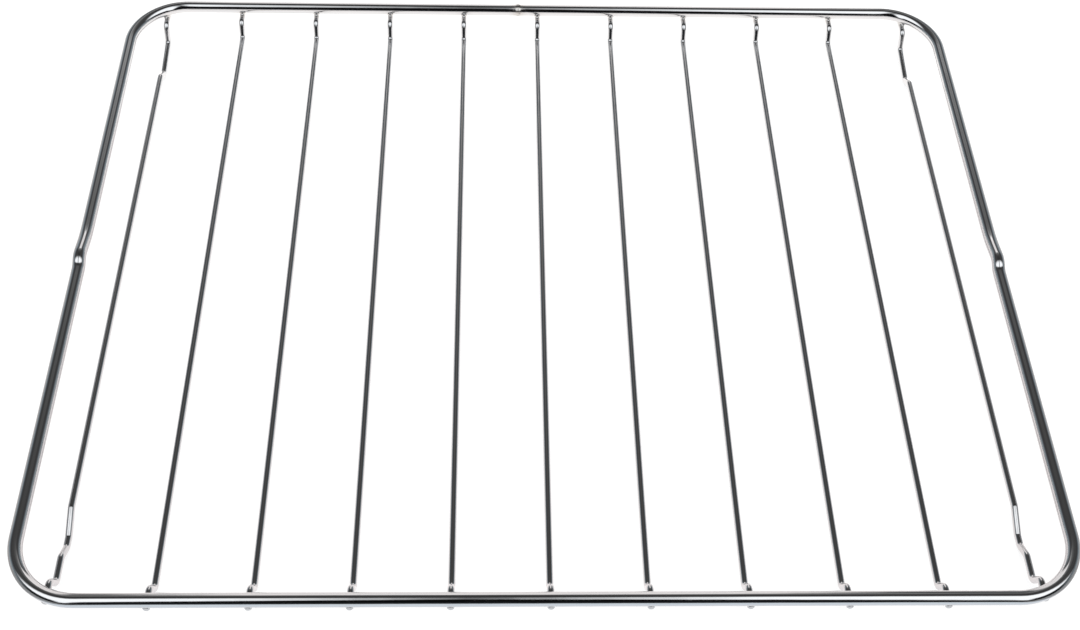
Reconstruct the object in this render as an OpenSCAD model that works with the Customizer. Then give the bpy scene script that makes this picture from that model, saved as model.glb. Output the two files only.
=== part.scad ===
// Oven grill rack: a thick wire bent into a frame, with thin rods welded across under it.
// X runs along the front bar, Y from the front to the back, and Z up.
// The origin is under the middle of the rack, at the level of the four feet.

/* [Frame] */
// Width over the side bars
frame_w = 440; // [380:1:500]
// Depth over the front and rear bars
frame_d = 360; // [300:1:420]
// Diameter of the frame's wire
frame_wire_d = 6; // [5:0.1:7]
// Radius of the corners, along the middle of the wire
corner_r = 28; // [22:1:36]
// Distance of the butt weld in the rear bar, left of the middle
butt_weld_left = 10.6; // [0:0.1:15]
// Diameter of the ring of metal that the butt weld squeezed out
butt_weld_d = 6.9; // [6.3:0.1:7.8]

/* [Humps in the side bars] */
// Height that a side bar is pressed up
hump_h = 2.6; // [1.5:0.1:3.2]
// Distance of the crest in front of the rack's middle
hump_ahead = 1.6; // [0:0.1:10]
// Run of the gentle slope behind the crest
hump_ramp = 14; // [12:0.5:18]
// Run of the steep slope in front of the crest
hump_fall = 4.8; // [4:0.1:7]
// Radius of the bends at the crest and in front of it, along the middle of the wire
hump_bend_r = 8; // [4:0.5:9]
// Radius of the long bend at the foot of the gentle slope
hump_foot_r = 60; // [20:1:70]

/* [Rods] */
// Number of rods
rod_count = 11; // [7:1:15]
// Diameter of a rod
rod_d = 3; // [2.5:0.1:3.5]
// Distance from the middle of a side bar to the middle of the nearest rod
side_gap = 15.5; // [12:0.5:22]
// Depth that a rod sinks into the frame at its weld
weld_sink = 0.3; // [0.1:0.05:0.5]
// Diameter of the bead that a weld squeezes out
bead_d = 3.8; // [3.4:0.1:4.6]
// Length of a rod's tip past the middle of the bar it is welded to
tip_past = 2; // [1:0.1:4]
// Chamfer on a tip's sheared edge
tip_chamfer = 0.4; // [0.2:0.1:0.8]
// Height that a rod drops from its weld to the shelf level
shelf_drop = 8; // [5:0.1:10]
// Distance from the middle of a bar to the top of the drop
drop_in = 7.4; // [6.5:0.1:9]
// Run of the drop
drop_run = 3.6; // [2:0.1:6]
// Radius of a rod's bends, along the middle of the wire
rod_bend_r = 3; // [2:0.1:4]

/* [Feet in the outermost rods] */
// Height of the shelf level over the bottom of the feet
foot_h = 4.2; // [3:0.1:6]
// Run of the steep front side of each foot
foot_step = 6.8; // [6:0.1:10]
// Distance from the front bar to the bottom of a front foot
front_foot_in = 32.4; // [28:0.1:40]
// Length of a front foot's flat bottom
front_foot_flat = 5; // [3:0.1:8]
// Run of the gentle slope behind a front foot
front_foot_ramp = 12; // [8:0.1:14]
// Distance from the rear bar to the bottom of a rear foot
rear_foot_in = 35.3; // [30:0.1:42]
// Height that a rear foot's long slope starts below the shelf level
rear_foot_start = 1.3; // [0.5:0.1:2.5]

/* [Hidden] */
chrome = [0.78, 0.79, 0.81];
$fn = 32;

// A straight stretch of wire runs this far into a bend, and the pressed bend is as much proud all round
lap = 0.02;

// Places of the bars' middles
side_x = (frame_w - frame_wire_d) / 2;
bar_y = (frame_d - frame_wire_d) / 2;

// Heights of the wires' middles, from the feet up
foot_z = rod_d / 2 + lap;
shelf_z = foot_z + foot_h;
weld_z = shelf_z + shelf_drop;
frame_z = weld_z + rod_d / 2 + frame_wire_d / 2 - weld_sink;

rod_pitch = 2 * (side_x - side_gap) / (rod_count - 1);

function rod_name(n) = str("rod_", n < 10 ? "0" : "", n);
function rod_x(n) = -side_x + side_gap + (n - 1) * rod_pitch;
function is_outermost(n) = n == 1 || n == rod_count;

// Distance that the frame's middle line lies inside the front or rear bar at a place along X
function corner_inset(x) =
    let (into = max(0, abs(x) - (side_x - corner_r)))
    corner_r - sqrt(corner_r * corner_r - into * into);

// Bent wires: each path is a list of [y, z] points in a plane across X
function heading(path, i) = atan2(path[i + 1][1] - path[i][1], path[i + 1][0] - path[i][0]);
function turn(path, i) = i < 1 || i > len(path) - 2 ? 0 : heading(path, i) - heading(path, i - 1);
// A wire has one bend radius, or a list with one for each point of its path
function radius(bend_r, i) = is_list(bend_r) ? bend_r[i] : bend_r;
function setback(path, i, bend_r) = radius(bend_r, i) * tan(abs(turn(path, i)) / 2);
function along(angle) = [cos(angle), sin(angle)];

module straight_stretch(path, i, bend_r, wire_d) {
    angle = heading(path, i);
    start = path[i] + (setback(path, i, bend_r) - lap) * along(angle);
    end = path[i + 1] - (setback(path, i + 1, bend_r) - lap) * along(angle);
    translate([0, start[0], start[1]])
        rotate([angle - 90, 0, 0])
            cylinder(h = norm(end - start), d = wire_d);
}

module round_bend(path, i, bend_r, wire_d) {
    side = sign(turn(path, i));
    angle_in = heading(path, i - 1);
    start = path[i] - setback(path, i, bend_r) * along(angle_in);
    centre = start + radius(bend_r, i) * along(angle_in + 90 * side);
    first = side > 0 ? angle_in - 90 : heading(path, i) + 90;
    translate([0, centre[0], centre[1]])
        rotate([90, 0, 90])
            rotate([0, 0, first])
                rotate_extrude(angle = abs(turn(path, i)), $fn = 96)
                    translate([radius(bend_r, i), 0])
                        circle(d = wire_d + 2 * lap);
}

module bent_wire(path, bend_r, wire_d) {
    for (i = [0 : len(path) - 2]) straight_stretch(path, i, bend_r, wire_d);
    for (i = [1 : len(path) - 2]) round_bend(path, i, bend_r, wire_d);
}

// Frame

module end_bar() {
    reach = side_x - corner_r + lap;
    translate([-reach, -bar_y, frame_z])
        rotate([0, 90, 0])
            cylinder(h = 2 * reach, d = frame_wire_d);
}

module corners() {
    for (side = [0, 1])
        mirror([side, 0, 0])
            translate([-side_x + corner_r, -bar_y + corner_r, frame_z])
                rotate([0, 0, 180])
                    rotate_extrude(angle = 90, $fn = 128)
                        translate([corner_r, 0])
                            circle(d = frame_wire_d + 2 * lap);
}

// The front end of the frame, which the rear end mirrors
module frame_end() {
    end_bar();
    corners();
}

module side_bar() {
    reach = bar_y - corner_r;
    crest = -hump_ahead;
    path = [
        [-reach, frame_z],
        [crest - hump_fall, frame_z],
        [crest, frame_z + hump_h],
        [crest + hump_ramp, frame_z],
        [reach, frame_z]
    ];
    bends = [0, hump_bend_r, hump_bend_r, hump_foot_r, 0];
    translate([-side_x, 0, 0]) bent_wire(path, bends, frame_wire_d);
}

module butt_weld() {
    translate([-butt_weld_left, bar_y, frame_z])
        rotate([0, 90, 0])
            sphere(d = butt_weld_d, $fn = 32);
}

module frame_wire() {
    color(chrome) {
        for (side = [0, 1]) {
            mirror([0, side, 0]) frame_end();
            mirror([side, 0, 0]) side_bar();
        }
        butt_weld();
    }
}

// Rods

function inner_rod_path(end_y) = [
    [-end_y - tip_past + tip_chamfer, weld_z],
    [-end_y + drop_in, weld_z],
    [-end_y + drop_in + drop_run, shelf_z],
    [end_y - drop_in - drop_run, shelf_z],
    [end_y - drop_in, weld_z],
    [end_y + tip_past - tip_chamfer, weld_z]
];

function outermost_rod_path(end_y) = [
    [-end_y - tip_past + tip_chamfer, weld_z],
    [-end_y + drop_in, weld_z],
    [-end_y + drop_in + drop_run, shelf_z],
    [-bar_y + front_foot_in - foot_step, shelf_z],
    [-bar_y + front_foot_in, foot_z],
    [-bar_y + front_foot_in + front_foot_flat, foot_z],
    [-bar_y + front_foot_in + front_foot_flat + front_foot_ramp, shelf_z],
    [bar_y - rear_foot_in - foot_step, shelf_z],
    [bar_y - rear_foot_in, foot_z],
    [end_y - drop_in - drop_run, shelf_z - rear_foot_start],
    [end_y - drop_in, weld_z],
    [end_y + tip_past - tip_chamfer, weld_z]
];

// A sheared end with a small chamfer
module tip(end_y) {
    translate([0, -end_y - tip_past, weld_z])
        rotate([-90, 0, 0])
            cylinder(h = tip_chamfer, d1 = rod_d - 2 * tip_chamfer - lap, d2 = rod_d - lap);
}

module weld_bead(end_y) {
    translate([0, -end_y, frame_z - frame_wire_d / 2])
        sphere(d = bead_d, $fn = 32);
}

module rod(n) {
    end_y = bar_y - corner_inset(rod_x(n));
    path = is_outermost(n) ? outermost_rod_path(end_y) : inner_rod_path(end_y);
    color(chrome)
        difference() {
            translate([rod_x(n), 0, 0]) {
                bent_wire(path, rod_bend_r, rod_d);
                for (side = [0, 1])
                    mirror([0, side, 0]) {
                        tip(end_y);
                        weld_bead(end_y);
                    }
            }
            for (side = [0, 1]) mirror([0, side, 0]) frame_end();
        }
}

frame_wire();
for (n = [1:rod_count]) rod(n);
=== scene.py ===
"""Looks of an oven grill rack: chrome plated wires on a white studio floor.

X runs along the front bar, Y from the front to the back, and Z up, as in the frame.
Lengths are in metres, written as millimetres times MM.
"""

import math

import bmesh
import bpy
from mathutils import Matrix, Vector


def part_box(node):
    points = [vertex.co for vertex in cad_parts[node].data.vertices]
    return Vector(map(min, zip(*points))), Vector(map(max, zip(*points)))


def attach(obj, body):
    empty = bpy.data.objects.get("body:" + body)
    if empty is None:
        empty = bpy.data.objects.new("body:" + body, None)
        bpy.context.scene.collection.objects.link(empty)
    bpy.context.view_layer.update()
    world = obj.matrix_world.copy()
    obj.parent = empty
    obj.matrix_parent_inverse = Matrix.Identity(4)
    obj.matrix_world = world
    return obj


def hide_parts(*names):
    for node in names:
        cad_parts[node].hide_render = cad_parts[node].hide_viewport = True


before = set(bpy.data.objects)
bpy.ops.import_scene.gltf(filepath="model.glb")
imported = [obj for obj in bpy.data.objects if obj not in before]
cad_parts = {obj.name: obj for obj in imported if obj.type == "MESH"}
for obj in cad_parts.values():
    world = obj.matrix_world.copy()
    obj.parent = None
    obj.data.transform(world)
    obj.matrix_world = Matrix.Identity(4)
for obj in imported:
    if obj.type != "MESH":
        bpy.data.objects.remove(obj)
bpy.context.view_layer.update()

MM = 0.001
PHOTO_WIDTH_PX = 1080

# Frame wire
FRAME_WIRE_R = 3 * MM
CORNER_R = 28 * MM
HUMP_H = 2.6 * MM
HUMP_AHEAD = 1.6 * MM
HUMP_RAMP = 14 * MM
HUMP_FALL = 4.8 * MM
HUMP_BEND_R = 8 * MM
HUMP_FOOT_R = 60 * MM
BUTT_WELD_LEFT = 10.6 * MM
BUTT_WELD_PROUD = 0.32 * MM
BUTT_WELD_HALF_WIDTH = 0.8 * MM

# Rods
ROD_R = 1.5 * MM
ROD_BEND_R = 3 * MM
WELD_SINK = 0.3 * MM
SHELF_DROP = 8 * MM
TIP_PAST = 2 * MM
TIP_CHAMFER = 0.4 * MM
DROP_IN = 7.4 * MM
DROP_RUN = 3.6 * MM

# Feet in the outermost rods
FOOT_H = 4.2 * MM
FOOT_STEP = 6.8 * MM
FRONT_FOOT_IN = 32.4 * MM
FRONT_FOOT_FLAT = 5 * MM
FRONT_FOOT_RAMP = 12 * MM
REAR_FOOT_IN = 35.3 * MM
REAR_FOOT_START = 1.3 * MM

# Fillet of metal round each weld
WELD_FILLET_R = 0.9 * MM
# Distance from a weld at which its heat has mostly faded
WELD_HEAT_REACH = 3.2 * MM

# Fineness of the meshes
FRAME_SIDES = 48
ROD_SIDES = 32
STRAIGHT_STEP = 4 * MM
BEND_STEP = math.radians(5)

# Places read from the frame
frame_low, frame_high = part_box("frame_wire")
SIDE_X = frame_high.x - FRAME_WIRE_R
BAR_Y = -frame_low.y - FRAME_WIRE_R
rod_nodes = sorted(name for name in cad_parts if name.startswith("rod_"))
outermost_nodes = (rod_nodes[0], rod_nodes[-1])
SHELF_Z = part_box(rod_nodes[1])[0].z + ROD_R
FOOT_Z = SHELF_Z - FOOT_H
WELD_Z = SHELF_Z + SHELF_DROP
FRAME_Z = WELD_Z + ROD_R + FRAME_WIRE_R - WELD_SINK
BUTT_WELD = Vector((-BUTT_WELD_LEFT, BAR_Y, FRAME_Z))


def rod_x(name):
    low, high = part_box(name)
    return (low.x + high.x) / 2


def corner_inset(x):
    """Distance that the frame's middle line lies inside the front or rear bar at a place along X."""
    into = max(0, abs(x) - (SIDE_X - CORNER_R))
    return CORNER_R - math.sqrt(CORNER_R**2 - into**2)


# Paths


def rounded_path(points, bend_radii, closed=False):
    """The polyline through the points with a round bend at each, as (point, tangent) stations."""
    stations = []
    count = len(points)

    def bend(i):
        before, here, after = (points[(i + k) % count] for k in (-1, 0, 1))
        a, b = (here - before).normalized(), (after - here).normalized()
        angle = a.angle(b)
        setback = bend_radii[i] * math.tan(angle / 2)
        return a, b, angle, setback

    def add_bend(i):
        a, b, angle, setback = bend(i)
        inward = (b - a * a.dot(b)).normalized()
        start = points[i] - a * setback
        steps = max(2, math.ceil(angle / BEND_STEP))
        for k in range(steps + 1):
            turned = angle * k / steps
            place = start + bend_radii[i] * (a * math.sin(turned) + inward * (1 - math.cos(turned)))
            stations.append((place, a * math.cos(turned) + inward * math.sin(turned)))

    def add_straight(start, end):
        direction = (end - start).normalized()
        steps = max(1, round((end - start).length / STRAIGHT_STEP))
        for k in range(1, steps):
            stations.append((start.lerp(end, k / steps), direction))

    def bend_end(i, side):
        if not closed and i in (0, count - 1):
            return points[i]
        a, b, _, setback = bend(i)
        return points[i] + (b if side > 0 else -a) * setback

    last = count if closed else count - 1
    for i in range(last):
        if closed or i > 0:
            add_bend(i)
        else:
            stations.append((points[0], (points[1] - points[0]).normalized()))
        add_straight(bend_end(i, 1), bend_end((i + 1) % count, -1))
    if not closed:
        stations.append((points[-1], (points[-1] - points[-2]).normalized()))
    return stations


def frame_path():
    """The frame's loop, from one of the wire's ends round to the other, which meet at the butt weld."""
    crest_y = -HUMP_AHEAD
    jog = [
        (crest_y - HUMP_FALL, 0),
        (crest_y, HUMP_H),
        (crest_y + HUMP_RAMP, 0),
    ]
    right = [Vector((SIDE_X, y, FRAME_Z + z)) for y, z in jog]
    left = [Vector((-SIDE_X, y, FRAME_Z + z)) for y, z in reversed(jog)]
    points = [Vector((-SIDE_X, -BAR_Y, FRAME_Z)), Vector((SIDE_X, -BAR_Y, FRAME_Z))]
    points += right
    points += [Vector((SIDE_X, BAR_Y, FRAME_Z)), Vector((-SIDE_X, BAR_Y, FRAME_Z))]
    points += left
    jog_radii = [HUMP_BEND_R, HUMP_BEND_R, HUMP_FOOT_R]
    radii = [CORNER_R] * 2 + jog_radii + [CORNER_R] * 2 + jog_radii[::-1]
    stations = rounded_path(points, radii, closed=True)
    first = min(range(len(stations)), key=lambda i: (stations[i][0] - BUTT_WELD).length)
    return stations[first:] + stations[: first + 1]


def rod_path(name):
    x = rod_x(name)
    end_y = rod_ends(name)
    front = [
        (-end_y - TIP_PAST, WELD_Z),
        (-end_y + DROP_IN, WELD_Z),
        (-end_y + DROP_IN + DROP_RUN, SHELF_Z),
    ]
    rear = [
        (end_y - DROP_IN - DROP_RUN, SHELF_Z),
        (end_y - DROP_IN, WELD_Z),
        (end_y + TIP_PAST, WELD_Z),
    ]
    feet = []
    if name in outermost_nodes:
        foot_y = -BAR_Y + FRONT_FOOT_IN
        feet = [
            (foot_y - FOOT_STEP, SHELF_Z),
            (foot_y, FOOT_Z),
            (foot_y + FRONT_FOOT_FLAT, FOOT_Z),
            (foot_y + FRONT_FOOT_FLAT + FRONT_FOOT_RAMP, SHELF_Z),
            (BAR_Y - REAR_FOOT_IN - FOOT_STEP, SHELF_Z),
            (BAR_Y - REAR_FOOT_IN, FOOT_Z),
        ]
        rear[0] = (end_y - DROP_IN - DROP_RUN, SHELF_Z - REAR_FOOT_START)
    points = [Vector((x, y, z)) for y, z in front + feet + rear]
    return rounded_path(points, [ROD_BEND_R] * len(points))


# Meshes


def new_mesh_object(name, vertices, faces, wire_coords=(), weld_heat=()):
    """The mesh of a piece. The wire's coordinates are kept per face corner, so that a loop's end rings can merge."""
    mesh = bpy.data.meshes.new(name)
    mesh.from_pydata(vertices, [], faces)
    if wire_coords:
        layer = mesh.attributes.new("wire_coords", "FLOAT_VECTOR", "CORNER")
        layer.data.foreach_set("vector", [c for loop in mesh.loops for c in wire_coords[loop.vertex_index]])
        layer = mesh.attributes.new("weld_heat", "FLOAT", "POINT")
        layer.data.foreach_set("value", weld_heat)
        shape = bmesh.new()
        shape.from_mesh(mesh)
        bmesh.ops.remove_doubles(shape, verts=shape.verts, dist=1e-7)
        shape.to_mesh(mesh)
        shape.free()
    mesh.shade_smooth()
    mesh.set_sharp_from_angle(angle=math.radians(32))
    piece = bpy.data.objects.new(name, mesh)
    bpy.context.scene.collection.objects.link(piece)
    return piece


def sweep(stations, radius_at, sides):
    """Rings of a wire along its stations, with the wire's own coordinates for its drawn texture."""
    vertices, wire_coords, faces = [], [], []
    travelled = 0
    previous = stations[0][0]
    for place, tangent in stations:
        travelled += (place - previous).length
        previous = place
        sideways = tangent.cross(Vector((0, 0, 1))).normalized()
        upward = sideways.cross(tangent)
        r = radius_at(travelled, place)
        for k in range(sides):
            angle = 2 * math.pi * k / sides
            outward = sideways * math.cos(angle) + upward * math.sin(angle)
            vertices.append(place + outward * r)
            wire_coords.append((math.cos(angle) * r, math.sin(angle) * r, travelled))
    for i in range(len(stations) - 1):
        for k in range(sides):
            m = (k + 1) % sides
            faces.append((i * sides + k, i * sides + m, (i + 1) * sides + m, (i + 1) * sides + k))
    return vertices, wire_coords, faces


def close_end(vertices, wire_coords, faces, ring_start, sides, place, tangent, outward_sign, r):
    """A sheared end: a chamfer and a flat face outside the ring that starts at ring_start."""
    inner = []
    cap = place + tangent * outward_sign * TIP_CHAMFER
    for k in range(sides):
        spoke = (vertices[ring_start + k] - place).normalized()
        inner.append(len(vertices))
        vertices.append(cap + spoke * (r - TIP_CHAMFER))
        x, y, z = wire_coords[ring_start + k]
        wire_coords.append((x, y, z + outward_sign * TIP_CHAMFER))
    for k in range(sides):
        m = (k + 1) % sides
        quad = (ring_start + k, ring_start + m, inner[m], inner[k])
        faces.append(quad if outward_sign > 0 else quad[::-1])
    faces.append(tuple(inner if outward_sign > 0 else reversed(inner)))


def weld_fillet(x, bar_y, bar_slope):
    """A closed shell whose outside is the fillet that a rolling ball leaves between a rod and the bar over it.

    The ball has WELD_FILLET_R, or less where it would run over the rod's tip. The rest of the shell is
    inside the two wires.
    """
    outward = math.copysign(1, bar_y)
    slant = math.atan(bar_slope)
    along_bar = Vector((math.cos(slant), math.sin(slant), 0))
    contact = Vector((x, bar_y, 0))
    furthest = TIP_PAST - TIP_CHAMFER - 0.05 * MM

    def ball_middle(turn, ball):
        """Rises and falls twice in one trip round the contact."""
        bar_reach, rod_reach = FRAME_WIRE_R + ball, ROD_R + ball
        lowest, highest = FRAME_Z - bar_reach, WELD_Z + rod_reach
        z = lowest + (highest - lowest) * (1 - math.cos(2 * turn)) / 2
        dx = math.copysign(math.sqrt(max(0, rod_reach**2 - (z - WELD_Z) ** 2)), math.cos(turn))
        off_bar = math.copysign(math.sqrt(max(0, bar_reach**2 - (FRAME_Z - z) ** 2)), math.sin(turn))
        dy = (off_bar + dx * math.sin(slant)) / math.cos(slant)
        return contact + Vector((dx, dy, z))

    def ball_size(turn):
        small, large = 0.02 * MM, WELD_FILLET_R
        if outward * (ball_middle(turn, large).y - bar_y) <= furthest:
            return large
        for _ in range(12):
            middle = (small + large) / 2
            if outward * (ball_middle(turn, middle).y - bar_y) > furthest:
                large = middle
            else:
                small = middle
        return small

    around, across = 64, 10
    vertices, faces = [], []
    for k in range(around):
        turn = 2 * math.pi * k / around
        ball = ball_size(turn)
        middle = ball_middle(turn, ball)
        bar_foot = contact + along_bar * (middle - contact).dot(along_bar) + Vector((0, 0, FRAME_Z))
        rod_foot = Vector((x, middle.y, WELD_Z))
        to_bar, to_rod = (bar_foot - middle).normalized(), (rod_foot - middle).normalized()
        vertices += [middle + to_bar.slerp(to_rod, i / across) * ball for i in range(across + 1)]
    width = across + 1
    in_bar = len(vertices)
    vertices.append(contact + Vector((0, 0, FRAME_Z - 0.8 * FRAME_WIRE_R)))
    in_rod = len(vertices)
    vertices.append(contact + Vector((0, 0, WELD_Z + 0.8 * ROD_R)))
    for k in range(around):
        m = (k + 1) % around
        for i in range(across):
            faces.append((k * width + i, k * width + i + 1, m * width + i + 1, m * width + i))
        faces.append((k * width, m * width, in_bar))
        faces.append((m * width + across, k * width + across, in_rod))
    # The faces point out where the fillet's face looks away from the contact
    a, b, c = (vertices[i] for i in faces[0][:3])
    if (b - a).cross(c - b).dot(a - vertices[in_bar]) < 0:
        faces = [face[::-1] for face in faces]
    return vertices, faces


def butt_weld_swell(place):
    """How far the butt weld's ring stands proud at a place along the rear bar."""
    if place.y < BAR_Y - FRAME_WIRE_R:
        return 0
    off = (place.x + BUTT_WELD_LEFT) / BUTT_WELD_HALF_WIDTH
    return BUTT_WELD_PROUD * math.exp(-(off**2))


def refine_near(stations, centre_x, y, reach, step):
    """More stations on a straight stretch along X, where the wire swells."""
    refined = []
    for (place, tangent), (following, _) in zip(stations, stations[1:]):
        refined.append((place, tangent))
        on_bar = abs(place.y - y) < 1e-6 and abs(following.y - y) < 1e-6
        if on_bar and min(abs(place.x - centre_x), abs(following.x - centre_x)) < reach:
            pieces = max(1, round((following - place).length / step))
            for k in range(1, pieces):
                refined.append((place.lerp(following, k / pieces), tangent))
    refined.append(stations[-1])
    return refined


def rod_ends(name):
    """The distance from the middle of the rack to the bars' middles, where the rod crosses them."""
    return BAR_Y - corner_inset(rod_x(name))


def bar_slope(x, side):
    """The slope dy/dx of the front (-1) or rear (1) bar's middle line at a place along X."""
    into = max(0, abs(x) - (SIDE_X - CORNER_R))
    return -side * math.copysign(into / math.sqrt(CORNER_R**2 - into**2), x)


def welds_of(name):
    return [Vector((rod_x(name), side * rod_ends(name), FRAME_Z - FRAME_WIRE_R)) for side in (-1, 1)]


def heat_at(places, welds):
    """1 at a weld, and close to 0 from a few millimetres away."""
    return [max(math.exp(-((place - weld).length / WELD_HEAT_REACH) ** 2) for weld in welds) for place in places]


def make_frame_wire(material):
    stations = refine_near(frame_path(), -BUTT_WELD_LEFT, BAR_Y, 6 * MM, 0.2 * MM)
    for name in rod_nodes:
        for side in (-1, 1):
            stations = refine_near(stations, rod_x(name), side * BAR_Y, 5 * MM, 1 * MM)
    vertices, coords, faces = sweep(
        stations,
        lambda travelled, place: FRAME_WIRE_R + butt_weld_swell(place),
        FRAME_SIDES,
    )
    welds = [weld for name in rod_nodes for weld in welds_of(name)]
    heat = heat_at(vertices, welds)
    for i, place in enumerate(vertices):
        heat[i] = max(heat[i], math.exp(-(((place - BUTT_WELD).x / WELD_HEAT_REACH) ** 2)) * (place.y > 0))
    piece = new_mesh_object("frame_wire_chromed", vertices, faces, coords, heat)
    piece.data.materials.append(material)
    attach(piece, "root")
    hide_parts("frame_wire")


def make_rod(name, material):
    stations = rod_path(name)
    first, last = stations[0], stations[-1]
    stations[0] = (first[0] + first[1] * TIP_CHAMFER, first[1])
    stations[-1] = (last[0] - last[1] * TIP_CHAMFER, last[1])
    vertices, coords, faces = sweep(stations, lambda travelled, place: ROD_R, ROD_SIDES)
    close_end(vertices, coords, faces, 0, ROD_SIDES, *stations[0], -1, ROD_R)
    last_ring = (len(stations) - 1) * ROD_SIDES
    close_end(vertices, coords, faces, last_ring, ROD_SIDES, *stations[-1], 1, ROD_R)
    x = rod_x(name)
    for side in (-1, 1):
        offset = len(vertices)
        fillet_vertices, fillet_faces = weld_fillet(x, side * rod_ends(name), bar_slope(x, side))
        vertices += fillet_vertices
        coords += [(v.x - x, v.z - WELD_Z, v.y) for v in fillet_vertices]
        faces += [tuple(offset + i for i in face) for face in fillet_faces]
    heat = heat_at(vertices, welds_of(name))
    piece = new_mesh_object(f"{name}_chromed", vertices, faces, coords, heat)
    piece.data.materials.append(material)
    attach(piece, "root")
    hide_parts(name)


# Materials


def add_node(tree, kind, inputs=None, **settings):
    """A shader node with its settings, and its inputs as plain values or as sockets to link from."""
    node = tree.nodes.new(kind)
    for key, value in settings.items():
        setattr(node, key, value)
    for key, value in (inputs or {}).items():
        if isinstance(value, bpy.types.NodeSocket):
            tree.links.new(value, node.inputs[key])
        else:
            node.inputs[key].default_value = value
    return node


def add_ramp(tree, factor, stops):
    """A colour ramp with the stops given as (position, colour)."""
    ramp = add_node(tree, "ShaderNodeValToRGB", {"Fac": factor})
    elements = ramp.color_ramp.elements
    for i, (position, colour) in enumerate(stops):
        element = elements[i] if i < 2 else elements.new(position)
        element.position = position
        element.color = (*colour, 1)
    return ramp.outputs["Color"]


def add_math(tree, operation, a, b=None):
    inputs = {0: a} if b is None else {0: a, 1: b}
    return add_node(tree, "ShaderNodeMath", inputs, operation=operation).outputs[0]


def add_step(tree, value, start, end, low=0.0, high=1.0):
    """Runs smoothly from low at start to high at end."""
    inputs = {"Value": value, "From Min": start, "From Max": end, "To Min": low, "To Max": high}
    step = add_node(tree, "ShaderNodeMapRange", inputs, interpolation_type="SMOOTHSTEP")
    return step.outputs["Result"]


def add_linear(tree, value, start, end, low=0.0, high=1.0):
    inputs = {"Value": value, "From Min": start, "From Max": end, "To Min": low, "To Max": high}
    return add_node(tree, "ShaderNodeMapRange", inputs).outputs["Result"]


def empty_material(name):
    material = bpy.data.materials.new(name)
    material.use_nodes = True
    tree = material.node_tree
    tree.nodes.clear()
    output = tree.nodes.new("ShaderNodeOutputMaterial")
    return material, tree, output


def chrome(name, roughness):
    """Bright plating over drawn wire.

    Faint drawing lines run along the wire, the surface waves slowly, the shine varies in long patches,
    and the plating is duller, grainier and a little warmer where the wire was welded.
    """
    material, tree, output = empty_material(name)
    wire = add_node(tree, "ShaderNodeAttribute", attribute_name="wire_coords").outputs["Vector"]
    heat = add_node(tree, "ShaderNodeAttribute", attribute_name="weld_heat").outputs["Fac"]

    def noise(period_across, period_along, detail):
        """Noise with its periods given in metres, from about 0.3 to 0.7."""
        scale = (1 / period_across, 1 / period_across, 1 / period_along)
        place = add_node(tree, "ShaderNodeMapping", {"Vector": wire, "Scale": scale}).outputs[0]
        return add_node(tree, "ShaderNodeTexNoise", {"Vector": place, "Scale": 1, "Detail": detail}).outputs["Fac"]

    def blend(factor, a, b):
        return add_node(tree, "ShaderNodeMix", {"Factor": factor, "A": a, "B": b}, data_type="RGBA").outputs[2]

    lines = noise(0.16 * MM, 14 * MM, 2)
    waves = noise(7 * MM, 11 * MM, 0)
    patches = noise(2.2 * MM, 38 * MM, 3)
    grain = noise(0.35 * MM, 0.35 * MM, 3)

    colour = blend(add_step(tree, patches, 0.40, 0.66), (0.575, 0.575, 0.58, 1), (0.545, 0.55, 0.56, 1))
    dulled = add_math(tree, "MULTIPLY", heat, add_step(tree, grain, 0.30, 0.62, 0.35, 0.9))
    colour = blend(dulled, colour, (0.43, 0.405, 0.375, 1))

    shine = add_step(tree, patches, 0.36, 0.70, roughness, roughness + 0.07)
    shine = add_math(tree, "ADD", shine, add_step(tree, lines, 0.45, 0.72, 0.0, 0.05))
    shine = add_math(tree, "ADD", shine, add_math(tree, "MULTIPLY", dulled, 0.2))

    bump = add_node(tree, "ShaderNodeBump", {"Strength": 1, "Distance": 0.045 * MM, "Height": waves})
    bump = add_node(
        tree,
        "ShaderNodeBump",
        {"Strength": 1, "Distance": 0.0014 * MM, "Height": lines, "Normal": bump.outputs[0]},
    )
    pitting = add_math(tree, "MULTIPLY", grain, heat)
    bump = add_node(
        tree,
        "ShaderNodeBump",
        {"Strength": 1, "Distance": 0.05 * MM, "Height": pitting, "Normal": bump.outputs[0]},
    )
    shader = add_node(
        tree,
        "ShaderNodeBsdfPrincipled",
        {"Base Color": colour, "Metallic": 1, "Roughness": shine, "Normal": bump.outputs[0]},
    )
    tree.links.new(shader.outputs[0], output.inputs["Surface"])
    return material


# Studio

FLOOR_GLOW = 0.8
POOL_EDGE = 0.3
SOFTBOX_STRENGTH = 1.75
BACKDROP_STRENGTH = 1.1
# Painted light and shade on the floor as the chrome mirrors it: a cool shade in front of the rack, warm light under
# it, and brighter light far behind it, where the backdrop lights the floor
FRONT_PAINTED_SHADE = (0.84, 0.95, 1.06)
REAR_PAINTED_LIGHT = (1.10, 1.02, 1.01)
FAR_PAINTED_LIGHT = (1.5, 1.45, 1.42)


def seen_or_mirrored(tree):
    """1 for the camera's rays and for those that a mirror or a glass sends on."""
    path = add_node(tree, "ShaderNodeLightPath")
    glossy = add_math(tree, "MAXIMUM", path.outputs["Is Glossy Ray"], path.outputs["Is Transmission Ray"])
    return add_math(tree, "MAXIMUM", path.outputs["Is Camera Ray"], glossy), path


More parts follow.
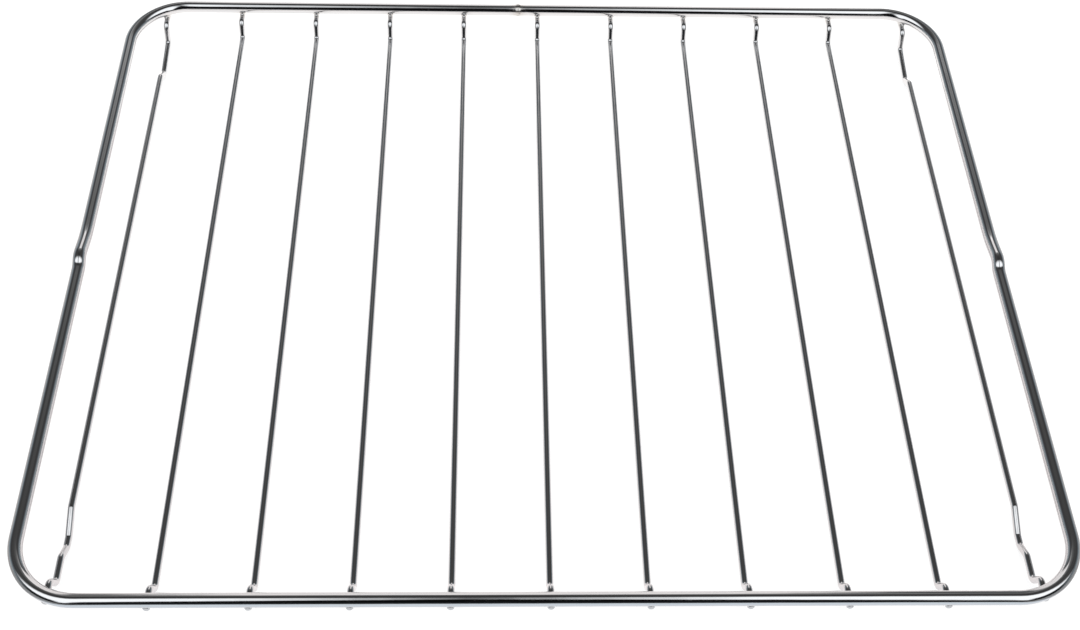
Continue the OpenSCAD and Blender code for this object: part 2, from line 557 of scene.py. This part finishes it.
def make_floor():
    half = 4.0
    vertices = [(-half, -half, 0), (half, -half, 0), (half, half, 0), (-half, half, 0)]
    floor = new_mesh_object("floor", vertices, [(0, 1, 2, 3)])
    material, tree, output = empty_material("white_floor")
    lit = add_node(tree, "ShaderNodeBsdfDiffuse", {"Color": (0.92, 0.92, 0.92, 1)})
    seen, path = seen_or_mirrored(tree)
    place = add_node(tree, "ShaderNodeNewGeometry").outputs["Position"]
    split = add_node(tree, "ShaderNodeSeparateXYZ", {0: place})
    x, y = split.outputs["X"], split.outputs["Y"]
    # In the chrome the floor is painted with light and shade by its place along Y: cool shade in front of the rack,
    # warm light under it, brighter light far behind; the camera sees it plain white
    painted_light_and_shade = add_ramp(
        tree,
        add_linear(tree, y, -0.20, 0.20),
        [(0, FRONT_PAINTED_SHADE), (0.1, REAR_PAINTED_LIGHT), (0.75, REAR_PAINTED_LIGHT), (0.90, FAR_PAINTED_LIGHT)],
    )
    colour = add_node(
        tree,
        "ShaderNodeMix",
        {"Factor": path.outputs["Is Camera Ray"], "A": painted_light_and_shade, "B": (1, 1, 1, 1)},
        data_type="RGBA",
    ).outputs[2]
    # In the chrome the floor dims away from the pool of light that the object lies in
    aside = add_step(tree, add_math(tree, "ABSOLUTE", x), SIDE_X, SIDE_X + 0.03, 1.0, POOL_EDGE)
    corner = add_step(tree, y, -BAR_Y, -BAR_Y + 0.06, 0.3, 1.0)
    aside = add_math(tree, "MAXIMUM", add_math(tree, "MULTIPLY", aside, corner), add_step(tree, aside, 0.9, 1.0))
    ahead = add_step(tree, y, -BAR_Y - 0.16, -BAR_Y - 0.10, 0.1, 1.0)
    pool = add_math(tree, "MULTIPLY", aside, ahead)
    strength = add_math(tree, "MAXIMUM", pool, path.outputs["Is Camera Ray"])
    glow = add_node(tree, "ShaderNodeEmission", {"Color": colour, "Strength": strength})
    # Far off, the floor is as white as the background
    across = add_math(tree, "ADD", add_math(tree, "MULTIPLY", x, x), add_math(tree, "MULTIPLY", y, y))
    share = add_step(tree, across, 0.5**2, 1.2**2, FLOOR_GLOW, 1.0)
    share = add_math(tree, "MULTIPLY", seen, share)
    mix = add_node(tree, "ShaderNodeMixShader", {"Fac": share, 1: lit.outputs[0], 2: glow.outputs[0]})
    tree.links.new(mix.outputs[0], output.inputs["Surface"])
    floor.data.materials.append(material)


def grey(value):
    return (value, value, value)


def make_room(tree, bearing, z):
    """The dim room: its rear wall is lit over the backdrop, its sides are cool and its front is black."""
    rear = add_ramp(
        tree,
        z,
        [
            (0.0, grey(0.12)),
            (0.56, grey(0.14)),
            (0.65, grey(0.56)),
            (0.69, grey(0.38)),
            (0.72, grey(0.26)),
            (0.77, grey(0.19)),
            (0.82, grey(0.135)),
            (0.87, grey(0.095)),
            (0.91, grey(0.07)),
            (1.0, grey(0.05)),
        ],
    )
    side = add_ramp(
        tree,
        z,
        [
            (0.0, (0.46, 0.53, 0.57)),
            (0.20, (0.33, 0.38, 0.41)),
            (0.38, (0.17, 0.19, 0.205)),
            (0.50, (0.085, 0.09, 0.10)),
            (0.64, grey(0.065)),
            (0.80, grey(0.085)),
            (1.0, grey(0.04)),
        ],
    )
    rearward = add_step(tree, bearing, 0.82, 0.99)
    room = add_node(
        tree, "ShaderNodeMix", {"Factor": rearward, "A": side, "B": rear}, data_type="RGBA"
    ).outputs[2]
    forward = add_step(tree, bearing, -0.5, 0.1, 0.06, 1.0)
    return add_node(tree, "ShaderNodeBackground", {"Color": room, "Strength": forward})


def make_softboxes(tree, x, y, z, bearing):
    """Two softboxes, left and right of the camera, with a dim gap between them overhead."""

    off = add_math(tree, "ABSOLUTE", add_math(tree, "ADD", x, 0.012))
    strength = add_linear(tree, off, 0.0, 0.19, 0.18, SOFTBOX_STRENGTH)
    # The front edges run apart, and the lower edges rise towards the front and at the sides
    reach = add_math(tree, "ADD", y, add_math(tree, "MULTIPLY", off, 1.15))
    height = add_math(tree, "ADD", z, add_math(tree, "MULTIPLY", bearing, 0.5))
    for edge in (
        add_step(tree, y, 0.12, -0.18),
        add_step(tree, reach, -0.52, -0.34),
        add_step(tree, height, -0.24, 0.02),
        add_math(tree, "MAXIMUM", add_step(tree, off, 0.60, 0.45), add_step(tree, z, 0.40, 0.56)),
    ):
        strength = add_math(tree, "MULTIPLY", strength, edge)
    return add_node(tree, "ShaderNodeBackground", {"Color": (0.98, 1.0, 1.02, 1), "Strength": strength})


def make_backdrop(tree, bearing, z):
    """The white backdrop behind the object, up to where it bends out of the light."""
    across = add_step(tree, bearing, 0.955, 0.985)
    # It reaches highest in its middle
    height = add_math(tree, "ADD", z, add_math(tree, "MULTIPLY", bearing, -1.5))
    strength = add_math(tree, "MULTIPLY", across, add_step(tree, height, -0.80, -0.87, 0, BACKDROP_STRENGTH))
    return add_node(tree, "ShaderNodeBackground", {"Color": (1.0, 0.95, 0.94, 1), "Strength": strength})


def make_world():
    world = bpy.data.worlds.new("studio")
    bpy.context.scene.world = world
    world.use_nodes = True
    tree = world.node_tree
    tree.nodes.clear()
    output = tree.nodes.new("ShaderNodeOutputWorld")
    direction = add_node(tree, "ShaderNodeTexCoord").outputs["Generated"]
    split = add_node(tree, "ShaderNodeSeparateXYZ", {0: direction})
    x, y, z = (split.outputs[i] for i in range(3))
    across = add_math(tree, "MULTIPLY", x, x)
    flat = add_math(tree, "SQRT", add_math(tree, "ADD", across, add_math(tree, "MULTIPLY", y, y)))
    bearing = add_math(tree, "DIVIDE", y, flat)
    studio = make_room(tree, bearing, z)
    for part in (make_softboxes(tree, x, y, z, bearing), make_backdrop(tree, bearing, z)):
        studio = add_node(tree, "ShaderNodeAddShader", {0: studio.outputs[0], 1: part.outputs[0]})
    white = add_node(tree, "ShaderNodeBackground", {"Color": (1, 1, 1, 1), "Strength": 1})
    path = add_node(tree, "ShaderNodeLightPath")
    mix = add_node(
        tree,
        "ShaderNodeMixShader",
        {"Fac": path.outputs["Is Camera Ray"], 1: studio.outputs[0], 2: white.outputs[0]},
    )
    tree.links.new(mix.outputs[0], output.inputs["Surface"])


def make_fill():
    """A wide soft light for the floor, which doesn't show in the chrome."""
    light = bpy.data.lights.new("fill", "AREA")
    light.shape = "RECTANGLE"
    light.size, light.size_y = 2.4, 2.4
    light.energy = 75
    lamp = bpy.data.objects.new("fill", light)
    lamp.location = (0, 0, 2)
    lamp.visible_glossy = False
    bpy.context.scene.collection.objects.link(lamp)


def make_camera():
    data = bpy.data.cameras.new("photo_camera")
    data.sensor_width = 36
    data.lens = 36 * 1440 / PHOTO_WIDTH_PX
    data.clip_start = 0.01
    camera = bpy.data.objects.new("photo_camera", data)
    pitch, yaw, roll = 0.9153, 0.05319, -0.04554
    camera.matrix_world = (
        Matrix.Translation(Vector((-23.6, -437.1, 543.0)) * MM)
        @ Matrix.Rotation(-yaw, 4, "Z")
        @ Matrix.Rotation(math.pi / 2 - pitch, 4, "X")
        @ Matrix.Rotation(-roll, 4, "Z")
    )
    bpy.context.scene.collection.objects.link(camera)
    bpy.context.scene.camera = camera


def main():
    frame_chrome = chrome("frame_chrome_plate", 0.04)
    rod_chrome = chrome("rod_chrome_plate", 0.05)
    make_frame_wire(frame_chrome)
    for name in rod_nodes:
        make_rod(name, rod_chrome)
    make_floor()
    make_world()
    make_fill()
    make_camera()
    bpy.context.scene.view_settings.view_transform = "Standard"


main()
